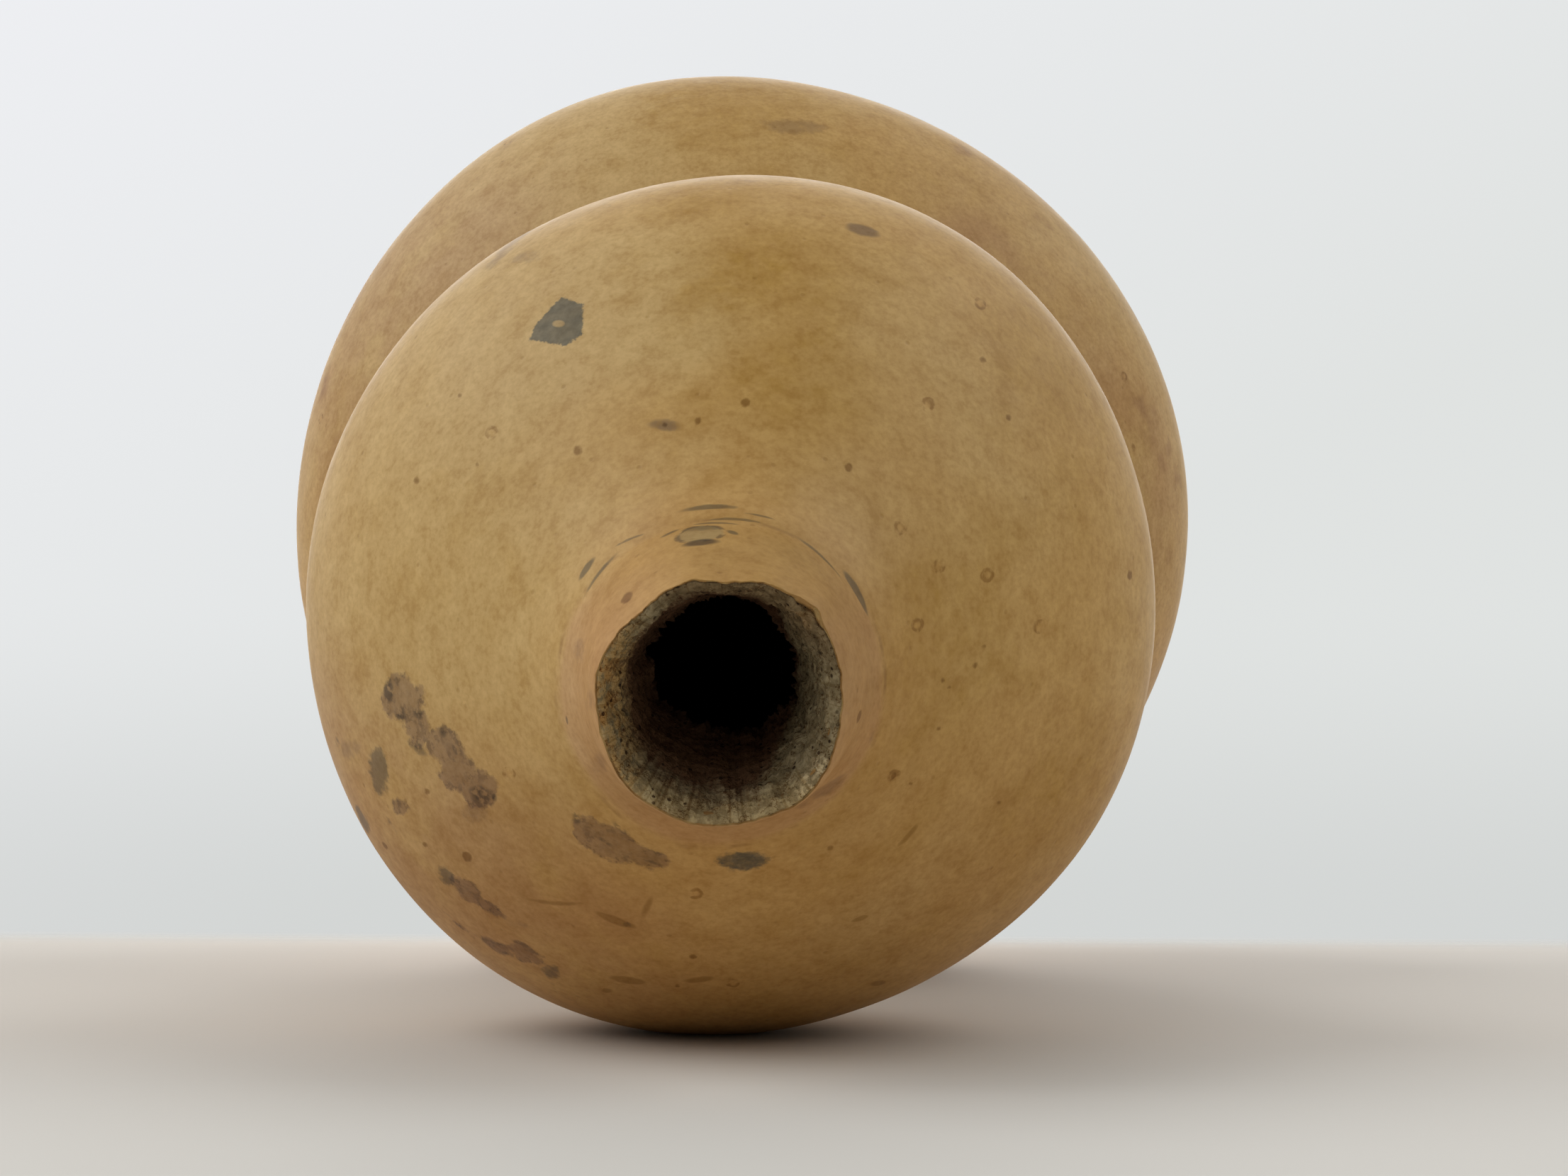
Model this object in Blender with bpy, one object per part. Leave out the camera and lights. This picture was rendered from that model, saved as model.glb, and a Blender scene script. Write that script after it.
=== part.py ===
"""A dried, hollow bottle gourd with two bulbs, lying on its side with its cut mouth open towards -Y.

The fruit is one body: skin outside, pith and lining inside, joined at the cut mouth. Its outline is turned
about the gourd's own axis and swollen a little out of round, as a grown thing is. It is then laid down on
both bulbs, which get the small flat spots that it rests on. Metres, +Z up. The origin lies on the surface
under it, below the middle of its box.
"""

import math

import bmesh
import bpy
import numpy as np
from mathutils import Matrix

# Driving dimensions. A station is a distance along the gourd's axis, counted from the cut mouth.
MOUTH_RADIUS = 0.0087
BORE_RADIUS = 0.0059
WALL = 0.0036
UPPER_STATION, UPPER_RADIUS = 0.0497, 0.0400
WAIST_STATION, WAIST_RADIUS = 0.0865, 0.0246
LOWER_STATION, LOWER_RADIUS = 0.1417, 0.0600
BASE_DEPTH = 0.0550

# The neck leaves the upper bulb at a faint ring, where the dried flesh of the stem ended.
RING_STATION, RING_RADIUS = 0.0105, 0.0121

# The dry scar of the blossom, a low button in a dimple at the foot of the lower bulb.
SCAR_RADIUS = 0.0034
SCAR_DEPTH = 0.0006

# Each wave is how many lobes it has round the axis, its share of the radius, and the angle of one lobe
# in degrees, from +X towards +Z as seen from the mouth.
UPPER_WAVES = ((2, 0.0140, 60.0), (4, 0.0065, -27.0))
LOWER_WAVES = ((3, 0.0050, 2.0), (4, 0.0042, 18.0))
RIM_WAVES = ((2, 0.012, 10.0), (3, 0.008, 75.0), (7, 0.007, 20.0))
RIM_FADE = 0.012
CUT_WAVES = ((2, 0.00030, 35.0), (5, 0.00016, 80.0))
CUT_FADE = 0.003

SEGMENTS = 48
RING_SPACING = 0.0080
FLAT_DEPTH = 0.00035
SETTLING_STEPS = 6
POLE_MERGE = 1e-5

SKIN_COLOUR = (0.46, 0.31, 0.14, 1.0)
SKIN_ROUGHNESS = 0.48


def clear_scene():
    """Removes every object that the file opened with."""
    for thing in list(bpy.data.objects):
        bpy.data.objects.remove(thing)


def fade(value, start, end):
    """A smooth step from 0 at start to 1 at end."""
    share = min(max((value - start) / (end - start), 0.0), 1.0)
    return share * share * (3.0 - 2.0 * share)


def waves(lobes, angle):
    """The sum of a list of waves at an angle round the axis, in radians."""
    return sum(size * math.cos(count * (angle - math.radians(turn))) for count, size, turn in lobes)


def skin_outline():
    """The points that shape the skin, as (station, radius) from the cut mouth to the foot of the lower bulb."""
    neck = [(0.0, MOUTH_RADIUS), (0.0050, 0.0102), (RING_STATION, RING_RADIUS), (0.0150, 0.0153)]
    upper = [(0.0210, 0.0216), (0.0290, 0.0299), (0.0385, 0.0369), (UPPER_STATION, UPPER_RADIUS)]
    waist = [(0.0615, 0.0383), (0.0710, 0.0330), (0.0785, 0.0274), (WAIST_STATION, WAIST_RADIUS)]
    lower = [(0.0945, 0.0277), (0.1035, 0.0362), (0.1140, 0.0475), (0.1270, 0.0568)]
    base = [
        (LOWER_STATION + BASE_DEPTH * math.sin(turn), LOWER_RADIUS * math.cos(turn))
        for turn in np.radians(range(0, 76, 15))
    ]
    return neck + upper + waist + lower + base


def scar_outline():
    """The blossom's scar, from the rim of its dimple to the axis."""
    foot = LOWER_STATION + BASE_DEPTH
    return [(foot - SCAR_DEPTH, SCAR_RADIUS), (foot - SCAR_DEPTH / 3, 0.0)]


def bore_outline():
    """The cut face and the pith of the neck, from the rim to inside the upper bulb's shoulder."""
    lip = [(0.0, MOUTH_RADIUS), (0.0005, 0.0080), (0.0040, 0.0071), (0.0100, 0.0064)]
    cavity = [(0.0170, BORE_RADIUS), (0.0210, 0.0073), (0.0255, 0.0130), (0.0325, 0.0235)]
    return lip + cavity


def lining_outline():
    """The bore, then the skin's own outline one wall further in, to the axis."""
    skin = np.array(skin_outline())
    along = np.gradient(skin, axis=0)
    square = np.column_stack((along[:, 1], -along[:, 0])) / np.linalg.norm(along, axis=1)[:, None]
    inset = (skin + WALL * square)[skin[:, 0] > UPPER_STATION - WALL]
    pole = (LOWER_STATION + BASE_DEPTH - WALL, 0.0)
    return bore_outline() + [tuple(point) for point in inset] + [pole]


def bends(lengths, knots):
    """The second derivatives at the knots of a natural cubic spline through them."""
    count = len(knots)
    system = np.eye(count)
    slopes = np.diff(knots, axis=0) / lengths[:, None]
    right = np.zeros_like(knots)
    for i in range(1, count - 1):
        before, after = lengths[i - 1], lengths[i]
        system[i, i - 1 : i + 2] = before, 2 * (before + after), after
        right[i] = 6 * (slopes[i] - slopes[i - 1])
    return np.linalg.solve(system, right)


def smooth_path(outline, spacing):
    """Points at most a spacing apart on the spline through an outline that ends at its pole, on the axis.

    The outline is carried on past the pole as its mirror image, so that it meets the axis squarely.
    """
    spans = len(outline) - 1
    beyond = [(station, -radius) for station, radius in outline[-2:-5:-1]]
    knots = np.array([*outline, *beyond])
    lengths = np.linalg.norm(np.diff(knots, axis=0), axis=1)
    bend = bends(lengths, knots)
    path = [knots[0]]
    for i in range(spans):
        whole = lengths[i]
        steps = math.ceil(whole / spacing)
        for step in range(1, steps + 1):
            done = whole * step / steps
            left = whole - done
            curve = (bend[i] * left**3 + bend[i + 1] * done**3) / (6 * whole)
            start = (knots[i] / whole - bend[i] * whole / 6) * left
            end = (knots[i + 1] / whole - bend[i + 1] * whole / 6) * done
            path.append(curve + start + end)
    return path


def turned_wall():
    """The whole wall as a turned body about +Y: the skin from its pole to the rim, then the lining back."""
    skin = smooth_path(skin_outline() + scar_outline(), RING_SPACING)
    lining = smooth_path(lining_outline(), RING_SPACING)
    outline = skin[::-1] + lining[1:]
    body = bmesh.new()
    chain = [body.verts.new((radius, station, 0.0)) for station, radius in outline]
    edges = [body.edges.new(pair) for pair in zip(chain, chain[1:])]
    bmesh.ops.spin(
        body, geom=chain + edges, axis=(0, 1, 0), angle=math.tau, steps=SEGMENTS, use_merge=True
    )
    bmesh.ops.remove_doubles(body, verts=body.verts, dist=POLE_MERGE)
    return body


def grow(body):
    """Swells the turned wall out of round, and makes the cut mouth a little uneven."""
    for vert in body.verts:
        station = vert.co.y
        angle = math.atan2(vert.co.z, vert.co.x)
        lower = fade(station, UPPER_STATION, LOWER_STATION)
        bulb = fade(station, 0.0, UPPER_STATION / 2)
        swelling = (1 - lower) * waves(UPPER_WAVES, angle) + lower * waves(LOWER_WAVES, angle)
        rim = (1 - fade(station, 0.0, RIM_FADE)) * waves(RIM_WAVES, angle)
        factor = 1 + bulb * swelling + rim
        cut = (1 - fade(station, 0.0, CUT_FADE)) * waves(CUT_WAVES, angle)
        vert.co = (vert.co.x * factor, station + cut, vert.co.z * factor)


def settle(body):
    """Lays the gourd on both bulbs: turns it about X until their lowest points are level, at height 0."""
    upper = [vert for vert in body.verts if vert.co.y < WAIST_STATION]
    lower = [vert for vert in body.verts if vert.co.y >= WAIST_STATION]
    for _ in range(SETTLING_STEPS):
        front = min(upper, key=lambda vert: vert.co.z).co
        back = min(lower, key=lambda vert: vert.co.z).co
        turn = math.atan2(front.z - back.z, back.y - front.y)
        bmesh.ops.rotate(body, verts=body.verts, cent=front, matrix=Matrix.Rotation(turn, 3, "X"))
    height = min(vert.co.z for vert in body.verts)
    bmesh.ops.translate(body, verts=body.verts, vec=(0, 0, -height))


def flatten_rests(body):
    """Sinks the gourd a hair and cuts it level, so that each bulb rests on a small flat spot."""
    bmesh.ops.translate(body, verts=body.verts, vec=(0, 0, -FLAT_DEPTH))
    everything = [*body.verts, *body.edges, *body.faces]
    cut = bmesh.ops.bisect_plane(
        body, geom=everything, plane_co=(0, 0, 0), plane_no=(0, 0, -1), clear_outer=True
    )
    rims = [part for part in cut["geom_cut"] if isinstance(part, bmesh.types.BMEdge)]
    bmesh.ops.edgenet_fill(body, edges=rims)


def centre(body):
    """Moves the gourd level until the origin is under the middle of its box."""
    middle = [
        (min(vert.co[axis] for vert in body.verts) + max(vert.co[axis] for vert in body.verts)) / 2
        for axis in range(2)
    ]
    bmesh.ops.translate(body, verts=body.verts, vec=(-middle[0], -middle[1], 0))


def skin_material():
    """The satin, pale tan skin of the dried gourd."""
    skin = bpy.data.materials.new("dried_skin")
    skin.use_nodes = True
    surface = skin.node_tree.nodes["Principled BSDF"]
    surface.inputs["Base Color"].default_value = SKIN_COLOUR
    surface.inputs["Roughness"].default_value = SKIN_ROUGHNESS
    surface.inputs["Metallic"].default_value = 0.0
    skin.diffuse_color = SKIN_COLOUR
    return skin


def build_gourd():
    """Makes the gourd's one object."""
    body = turned_wall()
    grow(body)
    settle(body)
    flatten_rests(body)
    centre(body)
    bmesh.ops.recalc_face_normals(body, faces=body.faces)
    mesh = bpy.data.meshes.new("gourd_shell")
    body.to_mesh(mesh)
    body.free()
    mesh.materials.append(skin_material())
    mesh.shade_smooth()
    mesh.set_sharp_from_angle(angle=math.radians(40))
    gourd = bpy.data.objects.new("gourd_shell", mesh)
    bpy.context.collection.objects.link(gourd)
    return gourd


def main():
    """Clears the scene and builds the gourd in it."""
    clear_scene()
    build_gourd()


if __name__ == "__main__":
    main()
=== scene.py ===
"""The looks of a dried bottle gourd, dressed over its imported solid.

The gourd lies on its two bulbs with its cut mouth towards -Y. It is made here as two pieces, the rind with
its inner lining, and the pith that fills the neck round the bore. Both repeat the form that the solid is
built from, at a much finer pitch. Lengths are metres, or millimetres in the rows of marks and zones,
with +Z up. A station is a distance along the gourd's own axis from the cut mouth, and a turn is an angle
round that axis in degrees, from +X towards +Z.
"""

import logging
import math
from dataclasses import dataclass, field
from enum import Enum
from functools import cached_property, reduce
from typing import Iterable, Sequence

import bmesh
import bpy
import numpy as np
from mathutils import Matrix, Vector


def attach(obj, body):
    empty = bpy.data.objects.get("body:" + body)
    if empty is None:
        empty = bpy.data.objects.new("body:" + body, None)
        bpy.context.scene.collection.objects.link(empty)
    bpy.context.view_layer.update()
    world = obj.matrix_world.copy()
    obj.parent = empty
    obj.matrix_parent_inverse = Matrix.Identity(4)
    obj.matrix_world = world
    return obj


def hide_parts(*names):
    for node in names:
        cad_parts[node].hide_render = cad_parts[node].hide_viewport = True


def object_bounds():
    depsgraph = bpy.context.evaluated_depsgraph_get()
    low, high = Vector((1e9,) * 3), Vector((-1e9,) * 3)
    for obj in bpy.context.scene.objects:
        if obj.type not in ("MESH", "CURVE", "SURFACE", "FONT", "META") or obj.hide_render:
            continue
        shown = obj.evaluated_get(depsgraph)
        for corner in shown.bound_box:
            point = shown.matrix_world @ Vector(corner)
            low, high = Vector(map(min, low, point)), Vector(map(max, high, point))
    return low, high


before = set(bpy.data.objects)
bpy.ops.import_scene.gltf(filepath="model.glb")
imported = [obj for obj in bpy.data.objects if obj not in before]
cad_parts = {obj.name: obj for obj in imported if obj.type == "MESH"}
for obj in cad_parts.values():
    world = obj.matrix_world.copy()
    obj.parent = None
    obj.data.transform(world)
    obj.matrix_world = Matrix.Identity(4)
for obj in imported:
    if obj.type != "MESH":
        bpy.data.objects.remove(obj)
cad_low, cad_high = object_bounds()

LOG = logging.getLogger("gourd")
NODE = "gourd_shell"
BODY = "root"
MM = 0.001

Outline = list[tuple[float, float]]
Colour = tuple[float, float, float]


def fade(value: np.ndarray | float, start: float, end: float) -> np.ndarray:
    """A smooth step.

    Args:
        value: What is tested.
        start: Where the step leaves 0.
        end: Where it reaches 1.

    Returns:
        The step's height at each value.
    """
    share = np.clip((value - start) / (end - start), 0.0, 1.0)
    return share * share * (3.0 - 2.0 * share)


def waves(lobes: Sequence[tuple[int, float, float]], angle: np.ndarray) -> np.ndarray:
    """The sum of waves round the axis.

    Args:
        lobes: How many lobes each wave has, its height, and the turn of one lobe.
        angle: Angles round the axis, in radians.

    Returns:
        The sum at each angle.
    """
    return sum(size * np.cos(count * (angle - math.radians(turn))) for count, size, turn in lobes)


def ring_value(knots: Sequence[tuple[float, float]], angle: np.ndarray, blur: float) -> np.ndarray:
    """A value that is given at some turns and runs on between them all the way round.

    Args:
        knots: Pairs of a turn and the value there.
        angle: Angles round the axis, in radians.
        blur: How far each way the value is averaged, in degrees.

    Returns:
        The value at each angle.
    """
    turns, values = zip(*knots)
    spots = [np.degrees(angle) + shift for shift in (-blur, -blur / 2, 0.0, blur / 2, blur)]
    return np.mean([np.interp(spot, turns, values, period=360.0) for spot in spots], axis=0)


def slopes(cells: np.ndarray) -> np.ndarray:
    """A fixed slope for each cell of space.

    Args:
        cells: The cells' whole numbers, as rows of three.

    Returns:
        The slopes, as rows of three numbers from -1 to 1.
    """
    seed = (cells @ np.array((73856093, 19349663, 83492791))) & 0xFFFFFFFF
    columns = []
    for _ in range(3):
        seed = (seed * 1664525 + 1013904223) & 0xFFFFFFFF
        seed ^= seed >> 15
        columns.append(seed / 0x7FFFFFFF - 1.0)
    return np.column_stack(columns)


def lumps(points: np.ndarray, size: float, octaves: int = 1) -> np.ndarray:
    """Smooth lumps in space, from about -1 to 1.

    Args:
        points: Where to read them, as rows of x, y and z.
        size: How wide one lump is.
        octaves: How many layers they have, each half as wide and high as the one before.

    Returns:
        The height at each point.
    """
    total = np.zeros(len(points))
    for octave in range(octaves):
        places = points * 2**octave / size + 7.3 * octave
        cells = np.floor(places).astype(np.int64)
        inside = places - cells
        ease = inside**3 * (inside * (inside * 6 - 15) + 10)
        for corner in np.ndindex(2, 2, 2):
            weight = np.prod(np.where(corner, ease, 1 - ease), axis=1)
            total += weight * np.sum(slopes(cells + corner) * (inside - corner), axis=1) * 1.5 / 2**octave
    return total


def spline_bends(lengths: np.ndarray, knots: np.ndarray) -> np.ndarray:
    """The second derivatives at the knots of a natural cubic spline.

    Args:
        lengths: The straight length between each knot and the next.
        knots: The knots, a row each.

    Returns:
        One row for each knot.
    """
    system = np.eye(len(knots))
    grades = np.diff(knots, axis=0) / lengths[:, None]
    right = np.zeros_like(knots)
    for i in range(1, len(knots) - 1):
        before, after = lengths[i - 1], lengths[i]
        system[i, i - 1 : i + 2] = before, 2 * (before + after), after
        right[i] = 6 * (grades[i] - grades[i - 1])
    return np.linalg.solve(system, right)


def smooth_path(outline: Outline, pitches: Sequence[tuple[float, float]], to_pole: bool) -> np.ndarray:
    """Points along the spline through an outline.

    Args:
        outline: The stations and radii to run through.
        pitches: Pairs of a station and the spacing of the points from there on, in rising order.
        to_pole: Whether the outline ends on the axis, which it then has to meet squarely.

    Returns:
        Rows of station and radius.
    """
    beyond = [(station, -radius) for station, radius in outline[-2:-5:-1]] if to_pole else []
    knots = np.array([*outline, *beyond])
    lengths = np.linalg.norm(np.diff(knots, axis=0), axis=1)
    bend = spline_bends(lengths, knots)
    path = [knots[0]]
    for i in range(len(outline) - 1):
        whole = lengths[i]
        nearest = min(knots[i][0], knots[i + 1][0])
        spacing = pitches[0][1]
        for station, pitch in pitches:
            if nearest >= station - 1e-9:
                spacing = pitch
        steps = math.ceil(whole / spacing)
        for done in whole * np.arange(1, steps + 1) / steps:
            left = whole - done
            curve = (bend[i] * left**3 + bend[i + 1] * done**3) / (6 * whole)
            start = (knots[i] / whole - bend[i] * whole / 6) * left
            end = (knots[i + 1] / whole - bend[i + 1] * whole / 6) * done
            path.append(curve + start + end)
    return np.array(path)


@dataclass(frozen=True)
class GourdForm:
    """The gourd's form, with the values that its solid has."""

    mouth_radius: float = 0.0087
    bore_radius: float = 0.0059
    wall: float = 0.0036
    upper_station: float = 0.0497
    upper_radius: float = 0.0400
    waist_station: float = 0.0865
    waist_radius: float = 0.0246
    lower_station: float = 0.1417
    lower_radius: float = 0.0600
    base_depth: float = 0.0550
    scar_radius: float = 0.0034
    scar_depth: float = 0.0006
    rind: float = 0.0007
    upper_waves: tuple = ((2, 0.0140, 60.0), (4, 0.0065, -27.0))
    lower_waves: tuple = ((3, 0.0050, 2.0), (4, 0.0042, 18.0))
    rim_reach: float = 0.0070
    rim_radii: tuple = (
        (0, 0.00864), (16, 0.00870), (35, 0.00880), (42, 0.00925), (50, 0.00900), (59, 0.00871),
        (64, 0.00874), (78, 0.00836), (89, 0.00808), (106, 0.00859), (120, 0.00846), (135, 0.00830),
        (155, 0.00883), (170, 0.00913), (184, 0.00904), (198, 0.00913), (212, 0.00937), (226, 0.00964),
        (242, 0.00957), (258, 0.00971), (273, 0.00954), (290, 0.00948), (304, 0.00965), (319, 0.00949),
        (336, 0.00897), (353, 0.00868),
    )

    @property
    def foot(self) -> float:
        """The station of the lower bulb's end."""
        return self.lower_station + self.base_depth

    def skin_outline(self) -> Outline:
        """The skin, from the cut mouth to the rim of the blossom's scar.

        Returns:
            Its stations and radii.
        """
        neck = [(0.0, self.mouth_radius), (0.0050, 0.0102), (0.0105, 0.0121), (0.0150, 0.0153)]
        upper = [(0.021, 0.0216), (0.029, 0.0299), (0.0385, 0.0369), (self.upper_station, self.upper_radius)]
        waist = [(0.0615, 0.0383), (0.071, 0.033), (0.0785, 0.0274), (self.waist_station, self.waist_radius)]
        lower = [(0.0945, 0.0277), (0.1035, 0.0362), (0.1140, 0.0475), (0.1270, 0.0568)]
        base = [
            (self.lower_station + self.base_depth * math.sin(turn), self.lower_radius * math.cos(turn))
            for turn in np.radians(range(0, 76, 15))
        ]
        return neck + upper + waist + lower + base

    def scar_outline(self) -> Outline:
        """The blossom's scar, from the rim of its dimple to the axis."""
        return [(self.foot - self.scar_depth, self.scar_radius), (self.foot - self.scar_depth / 3, 0.0)]

    def inset(self, depth: float, first: float, last: float) -> Outline:
        """The skin's outline further in.

        Args:
            depth: How far in, square to the skin.
            first: The first station that is kept.
            last: The last station that is kept.

        Returns:
            The outline's points there.
        """
        skin = np.array(self.skin_outline())
        along = np.gradient(skin, axis=0)
        square = np.column_stack((along[:, 1], -along[:, 0])) / np.linalg.norm(along, axis=1)[:, None]
        kept = (skin[:, 0] >= first) & (skin[:, 0] <= last)
        return [tuple(point) for point in (skin + depth * square)[kept]]

    def lining_outline(self) -> Outline:
        """The rind's cut edge and the inside of the wall, from the rim to the axis.

        Returns:
            Its stations and radii.
        """
        edge = [(0.0, self.mouth_radius), (0.0003, self.mouth_radius - 0.0004)]
        neck = self.inset(self.rind, 0.004, 0.022)
        shoulder = [(0.0275, 0.0222), (0.0325, 0.0242)]
        bulbs = self.inset(self.wall, self.upper_station - self.wall, self.foot)
        return edge + neck + shoulder + bulbs + [(self.foot - self.wall, 0.0)]

    @cached_property
    def skin_path(self) -> np.ndarray:
        """The skin's outline at the pitch of the finished mesh."""
        pitches = ((0.0, 0.00022), (0.0045, 0.00035), (0.0145, 0.0007), (0.0205, 0.00135))
        return smooth_path(self.skin_outline() + self.scar_outline(), pitches, True)

    def factor(self, station: np.ndarray, angle: np.ndarray) -> np.ndarray:
        """How many times its turned radius the gourd has at a station and an angle in radians.

        Args:
            station: Stations along the axis.
            angle: Angles round the axis, in radians.

        Returns:
            The factor at each place.
        """
        lower = fade(station, self.upper_station, self.lower_station)
        bulb = fade(station, 0.0, self.upper_station / 2)
        swelling = (1 - lower) * waves(self.upper_waves, angle) + lower * waves(self.lower_waves, angle)
        rim = ring_value(self.rim_radii, angle, 3.0) / self.mouth_radius - 1.0
        return 1 + bulb * swelling + (1 - fade(station, 0.0, self.rim_reach)) * rim

    def skin_radius(self, station: float, turn: float) -> float:
        """The skin's distance from the axis at a station and a turn."""
        turned = np.interp(station, self.skin_path[:-12, 0], self.skin_path[:-12, 1])
        return float(turned * self.factor(np.array([station]), np.array([math.radians(turn)]))[0])

    def skin_stretch(self, station: float, turn: float) -> float:
        """How far the skin runs for each step along the axis, at a station and a turn."""
        rise = self.skin_radius(station + 0.0002, turn) - self.skin_radius(station - 0.0002, turn)
        return math.hypot(1.0, rise / 0.0004)


@dataclass(frozen=True)
class Resting:
    """How the gourd lies: leaned back by a tilt about X, then moved to its place."""

    tilt: float
    shift: tuple[float, float, float]

    @staticmethod
    def turned(points: np.ndarray, tilt: float) -> np.ndarray:
        """Points turned about X by a tilt in radians."""
        return points @ np.array(Matrix.Rotation(tilt, 3, "X")).T

    @classmethod
    def found(cls, points: np.ndarray, waist: float, sink: float) -> "Resting":
        """The resting place of a skin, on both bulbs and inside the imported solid's box.

        Args:
            points: The skin's points in the gourd's own frame.
            waist: The station that parts the two bulbs.
            sink: How deep the bulbs' lowest points lie under the floor before they are flattened.

        Returns:
            The place.
        """
        upper, lower = points[points[:, 1] < waist], points[points[:, 1] >= waist]
        tilt = 0.0
        for _ in range(8):
            near, far = cls.turned(upper, tilt), cls.turned(lower, tilt)
            front, back = near[near[:, 2].argmin()], far[far[:, 2].argmin()]
            tilt += math.atan2(front[2] - back[2], back[1] - front[1])
        laid = cls.turned(points, tilt)
        side = (cad_low.x + cad_high.x - laid[:, 0].min() - laid[:, 0].max()) / 2
        return cls(tilt, (side, cad_high.y - laid[:, 1].max(), -laid[:, 2].min() - sink))

    def place(self, points: np.ndarray) -> np.ndarray:
        """The gourd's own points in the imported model's frame, flattened where they meet the floor."""
        laid = self.turned(points, self.tilt) + np.array(self.shift)
        return np.clip(laid, np.array(cad_low), np.array(cad_high))


class Part(Enum):
    """The parts of the gourd's wall, in the order of their material slots on each piece."""

    SKIN = 0
    LINING = 1


@dataclass
class TurnedWall:
    """A closed wall turned about the gourd's axis, one stretch of outline after another."""

    segments: int
    body: bmesh.types.BMesh = field(default_factory=bmesh.new)

    def turn(self, path: np.ndarray, slot: int) -> None:
        """Adds a stretch.

        Args:
            path: Its rows of station and radius.
            slot: The material slot of its faces.
        """
        known = len(self.body.faces)
        rows = len(path) - 1
        made = bmesh.ops.create_grid(self.body, x_segments=rows, y_segments=self.segments, size=0.5)["verts"]
        for vert in made:
            station, radius = path[round((vert.co.x + 0.5) * rows)]
            angle = math.tau * (round((vert.co.y + 0.5) * self.segments) % self.segments) / self.segments
            vert.co = (radius * math.cos(angle), station, radius * math.sin(angle))
        for face in list(self.body.faces)[known:]:
            face.material_index = slot

    def close(self) -> None:
        """Joins the stretches to each other, and closes their seams and poles."""
        bmesh.ops.remove_doubles(self.body, verts=self.body.verts, dist=1e-6)

    def points(self) -> np.ndarray:
        """The wall's points as rows of x, y and z."""
        return np.array([vert.co for vert in self.body.verts])

    def finish(self, name: str, points: np.ndarray, materials: Sequence[bpy.types.Material]) -> None:
        """Makes the wall a piece of the gourd.

        Args:
            name: The piece's name.
            points: Where its points come to lie.
            materials: What its slots hold.
        """
        for vert, point in zip(self.body.verts, points):
            vert.co = point
        bmesh.ops.recalc_face_normals(self.body, faces=self.body.faces)
        mesh = bpy.data.meshes.new(name)
        self.body.to_mesh(mesh)
        self.body.free()
        mesh.shade_smooth()
        for material in materials:
            mesh.materials.append(material)
        piece = bpy.data.objects.new(name, mesh)
        bpy.context.collection.objects.link(piece)
        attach(piece, BODY)
        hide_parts(NODE)
        mesh.calc_loop_triangles()
        LOG.info("%s: %d triangles", name, len(mesh.loop_triangles))


@dataclass(frozen=True)
class NeckRing:
    """The faint ring round the neck, where the stem's dried flesh ended, as a slanting plane."""

    station: float = 0.0116
    rise: float = 0.157
    lean: float = 0.041
    width: float = 0.0007
    groove: float = 0.00012
    step: float = 0.00010

    def past(self, x: np.ndarray, station: np.ndarray, z: np.ndarray) -> np.ndarray:
        """How far points lie past the ring, away from the mouth."""
        return station + self.rise * z + self.lean * x - self.station

    def relief(self, past: np.ndarray) -> np.ndarray:
        """How far the skin lies in or out for the ring, with the neck a little lower than the bulb."""
        groove = self.groove * np.exp(-((past / self.width) ** 2))
        return -groove - self.step * (1 - fade(past, -self.width, self.width))


@dataclass
class Rind:
    """The gourd's outside and its inner lining, one closed wall with a ragged cut edge at the mouth."""

    form: GourdForm
    ring: NeckRing
    segments: int = 288
    lining_pitch: float = 0.0065
    slow_lump: float = 0.045
    slow_height: float = 0.00028
    quick_lump: float = 0.013
    quick_height: float = 0.00006
    ragged_size: float = 0.0011
    ragged_height: float = 0.00022
    ragged_reach: float = 0.0012
    sink: float = 0.00035

    def build(self) -> tuple[TurnedWall, np.ndarray]:
        """Turns the wall and shapes it.

        Returns:
            The wall, and its points in the gourd's own frame.
        """
        wall = TurnedWall(self.segments)
        wall.turn(self.form.skin_path, Part.SKIN.value)
        pitches = ((0.0, 0.0008), (0.022, self.lining_pitch))
        wall.turn(smooth_path(self.form.lining_outline(), pitches, True), Part.LINING.value)
        wall.close()
        return wall, self.shaped(wall.points())

    def shaped(self, points: np.ndarray) -> np.ndarray:
        """Swells turned points out of round, and gives them the skin's lumps, the ring and the cut edge.

        Args:
            points: The turned points, as rows of x, y and z.

        Returns:
            The shaped points.
        """
        station, radius = points[:, 1], np.hypot(points[:, 0], points[:, 2])
        angle = np.arctan2(points[:, 2], points[:, 0])
        order = np.argsort(self.form.skin_path[:, 0])
        skin = np.interp(station, self.form.skin_path[order, 0], self.form.skin_path[order, 1])
        outer = fade(radius, skin - 0.0004, skin - 0.0001) * fade(radius, 0.004, 0.008)
        grown = radius * self.form.factor(station, angle)
        shaped = np.column_stack((grown * np.cos(angle), station, grown * np.sin(angle)))
        height = self.slow_height * lumps(shaped, self.slow_lump)
        height += self.quick_height * lumps(shaped, self.quick_lump, 2)
        height *= fade(station, 0.0, 0.02)
        height += self.ring.relief(self.ring.past(shaped[:, 0], station, shaped[:, 2])) * (station < 0.02)
        edge = 1 - fade(station, 0.0, self.ragged_reach)
        ragged = self.ragged_height * edge * lumps(shaped, self.ragged_size, 3)
        grown += outer * height + ragged * 0.6
        return np.column_stack((grown * np.cos(angle), station + ragged, grown * np.sin(angle)))


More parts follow.
